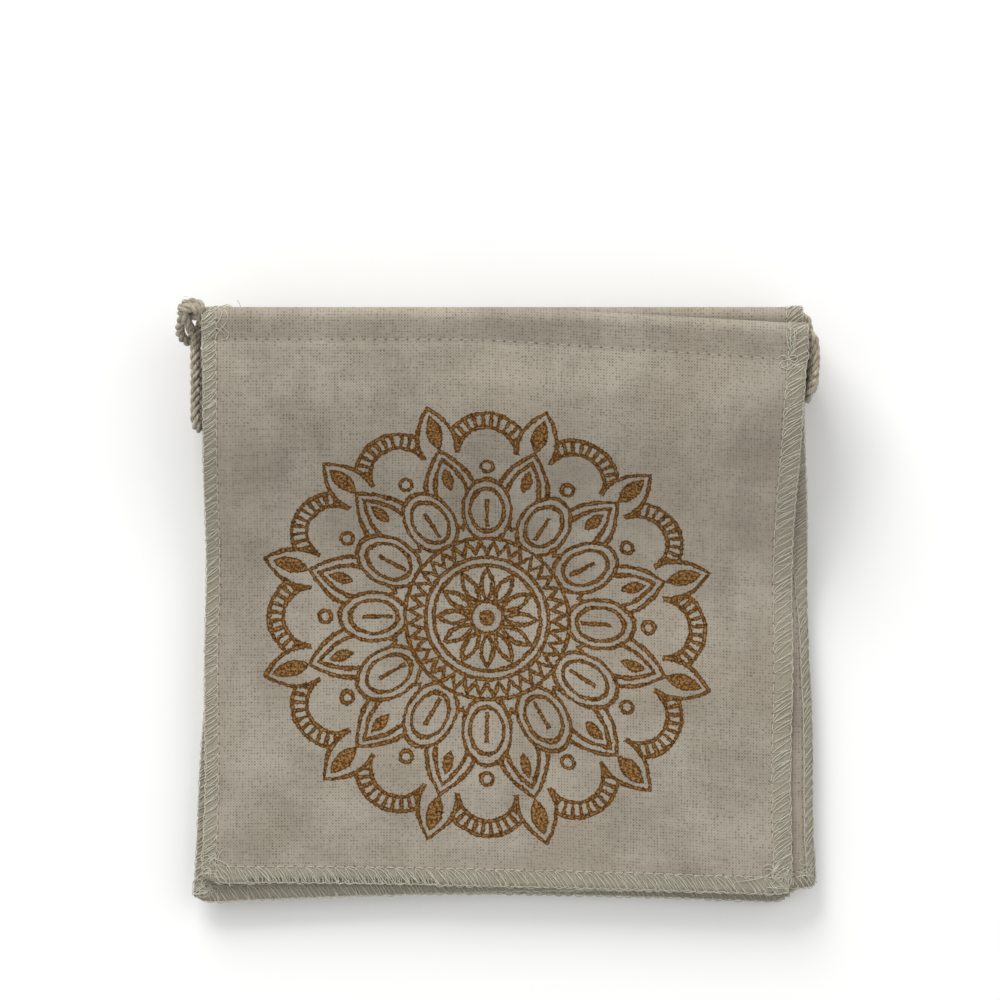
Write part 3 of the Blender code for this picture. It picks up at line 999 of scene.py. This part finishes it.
# Curled ends of thread at the lower corners
tangle = {
    "ends": 9,
    "fineEnds": 14,
    "over": 0.2,             # past the edges of the cloth
    "spread": 0.6,           # past the needle lines
    "curve": 1.3,
    "curl": (0.3, 1.0),
    "counts": (4, 5, 6),
    "step": 0.95,
    "lift": (0.05, 0.45),
}
# Slanting threads from each needle hole to the rim: the share of them that is missing, whether the thread
# is a fine one, and its points as the way along the edge and the share of the inset
leaves = (
    (0.06, False, ((0.0, 1.0), (0.7, 0.72), (1.5, 0.4), (2.3, 0.12), (2.6, -0.04))),
    (0.25, False, ((0.35, 0.97), (1.35, 0.8), (2.3, 0.46), (3.0, 0.14), (3.3, -0.03))),
    (0.3, True, ((0.1, 0.95), (0.2, 0.7), (0.5, 0.4), (1.0, 0.1))),
    (0.35, True, ((0.5, 0.84), (1.1, 0.62), (1.9, 0.36), (2.7, 0.08))),
    (0.45, True, ((1.0, 0.78), (1.9, 0.58), (2.7, 0.3), (3.2, 0.05))),
)
# A stitch of the needle thread: way along the edge, wander, lift
dashShape = ((0.3, 0.0, -0.25), (0.6, 0.5, 0.06), (1.3, 0.7, 0.1), (2.25, 0.5, 0.06), (2.55, 0.0, -0.25))
# A loop off the rim: share of its width, share of its depth, lift
loopShape = ((0.16, 0.5, 0.1), (0.42, 1.0, 0.0), (0.72, 0.85, -0.1), (0.98, 0.2, 0.05))
# The top flag's lower edge is frayed back between these X, so that the edging bridges a gap there
frayed = {"from": -70.0, "to": -16.0, "soft": 5.0, "depth": 1.35, "least": 0.5, "rungs": (0.1, 1.0, 1.9)}
# The second flag's right edge droops over the pile below
droop = {"start": 45.0, "soft": 35.0, "from": 5.4, "to": 3.6, "angle": radians(55), "steps": 12}
# The seam draws the cloth in, and the turned hem shows through below it, less towards the right
pucker = {
    "lap": 0.32,
    "lapDown": 2.5,
    "soft": 0.9,
    "fade": 0.6,
    "fadeFrom": -30.0,
    "fadeLength": 60.0,
    "draw": 0.16,
    "stitchShare": 0.4,
    "unevenLength": 9.0,
}
# Creases of the top flag, in the columns of the waves
creases = (
    (54.0, 34.0, 88.0, 26.0, 1.6, -0.22),
    (57.5, 18.0, 93.0, 30.0, 1.3, 0.16),
    (-62.0, 30.0, 84.0, 24.0, 2.0, 0.2),
    (-40.0, -66.0, 8.0, 24.0, 2.0, -0.2),
    (20.0, 56.0, 176.0, 34.0, 2.2, 0.22),
    (-20.0, 60.0, 3.0, 30.0, 1.8, -0.18),
    (66.0, -40.0, 96.0, 22.0, 1.8, 0.24),
    (40.0, -68.0, 172.0, 26.0, 1.7, 0.2),
)
# The cloth round a casing is an arc between two straight ramps to the seam
clothRadius = (tunnel + casingRadius) / 2
arcY = cos(pile["tangent"]) * clothRadius
arcZ = sin(pile["tangent"]) * clothRadius
arcLength = 2 * pile["tangent"] * clothRadius
casingRamp = hypot(pile["casingDepth"] - casingRadius + arcY, arcZ - half)
casingCloth = 2 * casingRamp + arcLength + pile["hemLap"]


def hemAt(flag, column):
    nearSide = max(min(column, 1 - column) * widthOf(flag), 0.0)
    return through(flag["hem"], column) + pile["cornerLift"] * exp(-nearSide / pile["cornerLength"])


def lowestDown(flag, column):
    y = hemAt(flag, column)
    return downOf(flag, seamAt(flag, xAt(flag, column, y)) - y)


def frayAt(flag, column):
    if not flag["isTop"]:
        return 0.0
    x = xAt(flag, column, flag["hem"][1])
    inside = smooth((x - frayed["from"]) / frayed["soft"]) * smooth((frayed["to"] - x) / frayed["soft"])
    return frayed["depth"] * inside * (0.85 + 0.3 * noise.noise(Vector((x / 3, 2.0, 0.0))))


def insetAt(flag, edge):
    return overlock["topInsets"][edge] if flag["isTop"] else overlock["inset"]


def droopAt(flag, column, down):
    # Shift along X and Z of the second flag's right edge.
    if flag["name"] != "flag_2" or down <= droop["start"]:
        return 0.0, 0.0
    amount = smooth((down - droop["start"]) / droop["soft"])
    piece = droop["from"] / droop["steps"]
    along = [0.0]
    fall = [0.0]
    for i in range(droop["steps"]):
        s = droop["from"] - (i + 0.5) * piece
        angle = droop["angle"] * amount * smooth((droop["from"] - s) / (droop["from"] - droop["to"]))
        along.append(along[-1] + cos(angle) * piece)
        fall.append(fall[-1] + sin(angle) * piece)
    short = droop["from"] - along[-1]
    bent = droop["from"] - max((1 - column) * widthOf(flag), 0.0)
    if bent <= 0:
        return short * smooth(column * 2 - 1), 0.0
    i = min(int(bent / piece), droop["steps"] - 1)
    share = bent / piece - i
    bentX, bentZ = [run[i] + (run[i + 1] - run[i]) * share for run in (along, fall)]
    return short - bent + bentX, -bentZ


def clothSection(flag, x, back):
    # Place round the casing, back millimetres of cloth past the seam: Y and Z.
    centre = foldAt(flag, x) - casingRadius
    seam = seamAt(flag, x)
    arcStart = centre + arcY
    ramp = hypot(arcStart - seam, arcZ - half)
    if back <= ramp:
        share = back / ramp
        return seam + (arcStart - seam) * share, half + (arcZ - half) * share
    if back <= ramp + arcLength:
        angle = pile["tangent"] - (back - ramp) / clothRadius
        return centre + cos(angle) * clothRadius, sin(angle) * clothRadius
    share = (back - ramp - arcLength) / ramp
    if share <= 1:
        return arcStart + (seam - arcStart) * share, (arcZ - half) * share - arcZ
    return seam - (share - 1) * ramp, -half


def seamPucker(flag, x, down):
    soft = pucker["soft"]
    fade = 1 - pucker["fade"] * smooth((x - pucker["fadeFrom"]) / pucker["fadeLength"])
    lap = pucker["lap"] * fade * exp(-((down - pucker["lapDown"]) / soft) ** 2)
    stitch = 1 - pucker["stitchShare"] * (1 - cos(tau * x / calico["seamPitch"]))
    uneven = 0.7 + 0.6 * noise.noise(Vector((x / pucker["unevenLength"], flag["number"] * 7.0, 0.0)))
    return (lap - pucker["draw"] * exp(-(down / soft) ** 2) * stitch) * uneven


def clothPoint(flag, column, down):
    # Middle of the cloth; down is the way below the seam, or above it where negative.
    if down >= 0:
        y = flag["seamY"] - reachOf(flag, down)
        y = seamAt(flag, xAt(flag, column, y)) - reachOf(flag, down)
        x = xAt(flag, column, y)
        z = plainHeight(flag, y, ridges(waves, x, y)) + seamPucker(flag, x, down)
        if flag["isTop"]:
            z += ridges(creases, x, y) * smooth(down / cloth["creaseFrom"])
        shiftX, shiftZ = droopAt(flag, column, down)
        return Vector((x + shiftX, y, z + shiftZ))
    x = xAt(flag, column, foldAt(flag, xAt(flag, column, flag["fold"])) - cloth["casingMiddle"])
    y, z = clothSection(flag, x, -down)
    return Vector((x, y, flag["level"] + z))


def meshFrom(bm, name, *materials):
    mesh = bpy.data.meshes.new(name)
    bm.to_mesh(mesh)
    bm.free()
    for material in materials:
        mesh.materials.append(material)
    return mesh


def makeFlag(flag):
    step = cloth["topStep"] if flag["isTop"] else cloth["lowerStep"]
    casingSpacing = cloth["casingStep"] if flag["isTop"] else cloth["lowerCasingStep"]
    width = widthOf(flag)
    flatCount = round(lowestDown(flag, 0.5) / step)
    casingCount = round(casingCloth / casingSpacing)
    rowCount = flatCount + casingCount
    bm = bmesh.new()
    bmesh.ops.create_grid(bm, x_segments=round(width / step), y_segments=rowCount, size=0.5)
    clothMm = bm.loops.layers.uv.new("clothMm")
    needleMm = bm.loops.layers.uv.new("needleMm")
    places = {}
    for vert in bm.verts:
        column = vert.co.x + 0.5
        row = round((vert.co.y + 0.5) * rowCount)
        lowest = lowestDown(flag, column)
        if row <= flatCount:
            down = (lowest - frayAt(flag, column)) * (1 - row / flatCount)
        else:
            down = -casingCloth * (row - flatCount) / casingCount
        vert.co = clothPoint(flag, column, down) * mm
        side = min(column * width - insetAt(flag, "left"), (1 - column) * width - insetAt(flag, "right"))
        places[vert] = (vert.co.x / mm, -down), (side, lowest - down - insetAt(flag, "bottom"))
    for face in bm.faces:
        for loop in face.loops:
            loop[clothMm].uv, loop[needleMm].uv = places[loop.vert]
    mesh = meshFrom(bm, flag["name"] + "_cloth", calicoFace, calicoBack)
    mesh.shade_smooth()
    piece = addObject(mesh.name, mesh)
    solid = piece.modifiers.new("thickness", "SOLIDIFY")
    solid.thickness = cloth["thickness"] * mm
    solid.offset = 0.0
    solid.material_offset = 1
    solid.material_offset_rim = 1
    return piece


for flag in flags:
    flag["sheet"] = makeFlag(flag)
print("cloth laid")


def hemColumn(flag, x):
    return (x - flag["left"][2]) / (flag["right"][2] - flag["left"][2])


def edgePoint(flag, edge, along, inset, lift):
    # Place on the cloth by its edge; lift is off the face, negative on the underside.
    def place(a, b):
        if edge == "left":
            return clothPoint(flag, b / widthOf(flag), a)
        if edge == "right":
            return clothPoint(flag, 1 - b / widthOf(flag), a)
        column = hemColumn(flag, a)
        return clothPoint(flag, column, lowestDown(flag, column) - b)

    here = place(along, inset)
    ahead = place(along + 0.4, inset) - here
    inward = place(along, inset + 0.4) - here
    normal = inward.cross(ahead) if edge == "right" else ahead.cross(inward)
    return here + normal.normalized() * lift


def bend(points, count=3):
    # Rounds a short thread with a smooth curve through its points.
    return smoothed(points, [count] * (len(points) - 1))


def overlockThreads(flag, dice):
    slants = []
    fine = []
    dashes = []
    top = cloth["thickness"] / 2 + overlock["lift"]
    pitch = overlock["pitch"]

    def shake(amount=1.0):
        return dice.uniform(-overlock["jitter"], overlock["jitter"]) * amount

    sideStart = -casingCloth / 2 - overlock["pastCasing"]
    runs = (
        ("left", sideStart, lowestDown(flag, 0.0) - overlock["sideEnd"], 1),
        ("right", sideStart, lowestDown(flag, 1.0) - overlock["sideEnd"], -1),
        ("bottom", flag["left"][2] + overlock["hemEnd"], flag["right"][2] - overlock["hemEnd"], 1),
    )
    for edge, start, stop, forward in runs:
        inset = insetAt(flag, edge)
        slope = inset / overlock["slant"]
        for k in range(ceil(start / pitch), floor(stop / pitch) + 1):
            here = k * pitch

            def spot(ahead, inward, lift):
                along = min(max(here + forward * ahead, start), stop)
                return edgePoint(flag, edge, along, inward, lift)

            for missing, isFine, leaf in leaves:
                if dice.random() < missing:
                    continue
                skew = dice.uniform(*overlock["skew"])
                bow = dice.uniform(*overlock["bow"])
                lift = top + dice.uniform(*overlock["rise"])
                points = []
                for j, (ahead, share) in enumerate(leaf):
                    middle = overlock["arch"] if 0 < j < len(leaf) - 1 else 0.0
                    inward = inset * share + bow * sin(pi * share) + shake(0.3)
                    points.append(spot(ahead * slope * skew + shake(0.4), inward, lift + middle))
                (fine if isFine else slants).append(bend(points, 2))
            dash = []
            for ahead, wander, lift in dashShape:
                inward = inset + (shake(wander) if wander else overlock["endDip"])
                dash.append(spot(ahead, inward, top + lift))
            dashes.append(bend(dash, 1))
            fray = frayAt(flag, hemColumn(flag, here)) if edge == "bottom" else 0.0
            if fray > frayed["least"]:
                # rungs over the frayed edge, and a wavy thread along their ends
                for rung in frayed["rungs"]:
                    a = rung + shake()
                    slants.append([spot(a, fray + 0.5, top), spot(a + 0.15, fray * 0.5, 0.1),
                                   spot(a + 0.3, 0.0, 0.0)])
                rim = [spot(pitch * q, 0.14 * cos(q * tau) + shake(0.4), 0.12)
                       for q in (0.0, 0.25, 0.5, 0.75, 1.0)]
            else:
                hang = dice.uniform(*overlock["hang"]) * (1.0 if edge == "bottom" else overlock["sideHang"])
                wide = dice.uniform(*overlock["loopWidth"]) * pitch
                loop = [spot(wide * share, -hang * depth, lift) for share, depth, lift in loopShape]
                slants.append(bend([spot(0.0, 0.35, top * 0.6), *loop, spot(wide * 1.2, 0.4, top * 0.7)], 2))
                rim = [spot(pitch * q, -0.05 + 0.26 * sin(q * 6.3 + k) + shake(0.4), 0.2)
                       for q in (0.0, 0.35, 0.7, 1.08)]
            dashes.append(bend(rim, 2))
    return slants + dashes, fine


def cornerTangle(flag, side, dice, count):
    # Ends of thread curl over each other where the edging turns a lower corner.
    curls = []
    edge = "left" if side < 0 else "right"
    lowest = lowestDown(flag, 0.0 if side < 0 else 1.0)
    for _ in range(count):
        along = lowest - dice.uniform(-tangle["over"], insetAt(flag, "bottom") + tangle["spread"])
        inward = dice.uniform(-tangle["over"], insetAt(flag, edge) + tangle["spread"])
        heading = dice.uniform(0, tau)
        curve = dice.uniform(-tangle["curve"], tangle["curve"])
        points = []
        for _ in range(dice.choice(tangle["counts"])):
            lift = cloth["thickness"] / 2 + dice.uniform(*tangle["lift"])
            points.append(edgePoint(flag, edge, min(along, lowest + 0.3), max(inward, -0.5), lift))
            along += tangle["step"] * cos(heading)
            inward += tangle["step"] * sin(heading)
            heading += curve * dice.uniform(*tangle["curl"])
        curls.append(bend(points, 2))
    return curls


def topPoint(x, y, lift):
    # A spot over the top flag, its casing included.
    flag = flags[0]
    seam = seamAt(flag, x)
    arcStart = foldAt(flag, x) - casingRadius + arcY
    if y <= seam:
        left, right = edgesAt(flag, y)
        z = clothPoint(flag, min(max((x - left) / (right - left), 0.0), 1.0), downOf(flag, seam - y)).z
    elif y < arcStart:
        z = flag["level"] + half + (arcZ - half) * (y - seam) / (arcStart - seam)
    else:
        z = flag["level"] + sqrt(max(clothRadius ** 2 - (y - arcStart + arcY) ** 2, 0.3))
    return Vector((x, y, z + cloth["thickness"] / 2 + lift))


# Loose thread on the top flag, each as X and Y of its points
looseThreads = (
    # over the left end of the casing
    ((-74.0, 76.8), (-73.2, 77.7), (-72.0, 78.1), (-70.9, 77.7), (-70.3, 76.9)),
    ((-68.3, 76.9), (-68.8, 78.3), (-69.4, 79.3)),
    ((-77.6, 74.6), (-76.1, 76.5), (-74.4, 76.9), (-73.4, 75.9), (-74.0, 74.3), (-74.9, 72.7), (-74.2, 71.2)),
    ((-75.0, 76.2), (-73.2, 77.0), (-71.9, 75.4), (-72.4, 73.3), (-73.7, 71.8), (-74.8, 70.2), (-75.3, 68.3)),
    ((-77.9, 71.8), (-76.3, 73.6), (-75.0, 74.7), (-73.6, 74.2)),
    ((-77.5, 69.4), (-76.0, 70.9), (-74.9, 71.9), (-73.2, 71.0), (-72.5, 69.6)),
    ((-73.9, 73.0), (-72.5, 71.6), (-71.6, 70.4), (-72.3, 69.2), (-73.6, 69.0)),
    # the end of the turned hem at the right, beside the needle line
    ((73.6, 73.3), (73.4, 70.3), (73.7, 67.6), (75.0, 64.9)),
    ((74.2, 73.5), (74.5, 70.9), (74.3, 68.3), (75.1, 65.2)),
    ((74.9, 73.3), (75.4, 70.6), (75.2, 68.0), (75.2, 65.4)),
    ((73.9, 72.3), (74.0, 69.6), (75.1, 67.9), (75.4, 65.6)),
    ((75.5, 73.1), (75.9, 71.0), (75.6, 68.9), (75.4, 66.5)),
    # the seam is fastened there with a few loops
    ((71.2, 64.4), (72.6, 64.9), (73.9, 64.2), (74.7, 63.1), (73.4, 62.1), (72.0, 61.7), (71.4, 62.5),
     (72.3, 63.4)),
    ((72.3, 63.4), (73.9, 63.8), (75.3, 63.3), (76.2, 63.9), (75.6, 64.9), (74.3, 64.7)),
    ((71.6, 63.0), (72.7, 61.5), (74.2, 61.3), (75.2, 62.4), (76.6, 62.6)),
    ((73.0, 64.7), (74.2, 63.2), (75.6, 62.2), (77.0, 61.9)),
    # long ends at the lower right corner
    ((73.0, -66.7), (71.7, -68.2), (70.4, -69.5), (69.0, -70.6), (68.2, -71.6)),
    ((72.8, -67.4), (71.0, -69.0), (69.8, -70.6), (71.2, -70.9), (72.6, -70.6)),
    ((69.4, -70.5), (66.7, -71.5), (63.4, -72.1), (60.0, -72.6)),
    # and at the lower left one
    ((-77.4, -65.6), (-75.8, -67.9), (-74.6, -69.9), (-73.4, -71.7), (-71.7, -71.6)),
    ((-75.9, -67.2), (-73.9, -69.2), (-72.0, -71.0), (-71.7, -73.6)),
    ((-76.7, -66.2), (-74.3, -66.9), (-72.6, -67.8), (-71.3, -69.9), (-70.7, -71.3)),
    ((-75.6, -69.8), (-74.5, -72.2), (-73.2, -72.7)),
)


def looseThreadLines(dice):
    lines = []
    for rows in looseThreads:
        points = []
        for i, (x, y) in enumerate(rows):
            isEnd = i in (0, len(rows) - 1)
            points.append(topPoint(x, y, 0.05 if isEnd else dice.uniform(0.15, 0.5)))
        lines.append(bend(points))
    return lines


def threadMesh(name, strands, radius, material, fine=()):
    curve = newCurve(name)
    curve.bevel_depth = radius * mm
    curve.bevel_resolution = 0
    for strand in strands:
        addStrand(curve, strand)
    for strand in fine:
        addStrand(curve, strand, [overlock["fineRadius"] / radius] * len(strand))
    return curveToMesh(name, curve, material)


for flag in flags:
    dice = random.Random(overlock["seed"] + flag["number"])
    strands, fine = overlockThreads(flag, dice)
    for side in (-1, 1):
        strands += cornerTangle(flag, side, dice, tangle["ends"])
        fine += cornerTangle(flag, side, dice, tangle["fineEnds"])
    if flag["isTop"]:
        strands += looseThreadLines(dice)
    edging = threadMesh(flag["name"] + "_overlock", strands, overlock["radius"], threadCotton, fine)
    flag["edging"] = edging
    print(flag["name"], "edging triangles:", 2 * len(edging.data.polygons))
fuzz = threadMesh("cord_fuzz", ropeHairs(random.Random(hair["seed"])), hair["radius"], threadCotton)
print("edges overlocked")

seamThread = {
    "radius": 0.12,
    "margin": 4.6,
    "shape": ((0.1, -0.2), (0.25, 0.02), (0.5, 0.06), (0.75, 0.02), (0.9, -0.2)),  # share of the pitch, lift
}


def seamStitches(flag):
    stitches = []
    pitch = calico["seamPitch"]
    left, right = edgesAt(flag, flag["seamY"])
    k = ceil((left + seamThread["margin"]) / pitch)
    while (k + 1) * pitch < right - seamThread["margin"]:
        points = []
        for share, lift in seamThread["shape"]:
            point = clothPoint(flag, ((k + share) * pitch - left) / (right - left), 0.0)
            point.z += cloth["thickness"] / 2 + lift
            points.append(point)
        stitches.append(bend(points, 1))
        k += 1
    return stitches


for flag in flags:
    flag["seam"] = threadMesh(flag["name"] + "_seam", seamStitches(flag), seamThread["radius"], seamCotton)
print("casings sewn")

studio = {
    "floor": srgb(250, 250, 249),
    "floorGap": 0.0002,      # in metres, as the places and sizes of the lights
    "world": 0.67,
    "lights": (
        ("key", (-0.55, 1.3, 0.95), 0.9, 19.0),
        ("fill", (1.1, 0.4, 1.3), 1.4, 5.0),
    ),
}


def makeFloor():
    bm = bmesh.new()
    bmesh.ops.create_grid(bm, x_segments=1, y_segments=1, size=3.0)
    material = bpy.data.materials.new("floorPaint")
    shaderOf(material, {"Base Color": studio["floor"], "Roughness": 0.9})
    ground = addObject("floor", meshFrom(bm, "floor", material))
    ground.location.z = cadBox[0][2] - studio["floorGap"]


makeFloor()
for name, place, size, power in studio["lights"]:
    data = bpy.data.lights.new(name, "AREA")
    data.size = size
    data.energy = power
    lamp = addObject(name, data)
    lamp.location = place
    lamp.rotation_euler = (-Vector(place)).to_track_quat("-Z", "Y").to_euler()
world = bpy.data.worlds.new("world")
world.use_nodes = True
world.node_tree.nodes["Background"].inputs["Color"].default_value = (1.0, 1.0, 1.0, 1.0)
world.node_tree.nodes["Background"].inputs["Strength"].default_value = studio["world"]
bpy.context.scene.world = world
bpy.context.scene.view_settings.view_transform = "Standard"
print("studio lit")

for flag in flags:
    sheetPiece = flag["sheet"]
    threads = [flag["edging"], flag["seam"]]
    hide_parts(flag["name"])
    for piece in (sheetPiece, *threads):
        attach(piece, "root")
    flat = (widthOf(flag) * mm, (lowestDown(flag, 0.5) + casingCloth) * mm)

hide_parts("cord")
for piece in (rope, *knots, fuzz):
    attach(piece, "root")
[value * mm for value in mouthAt(flags[0], -1)]
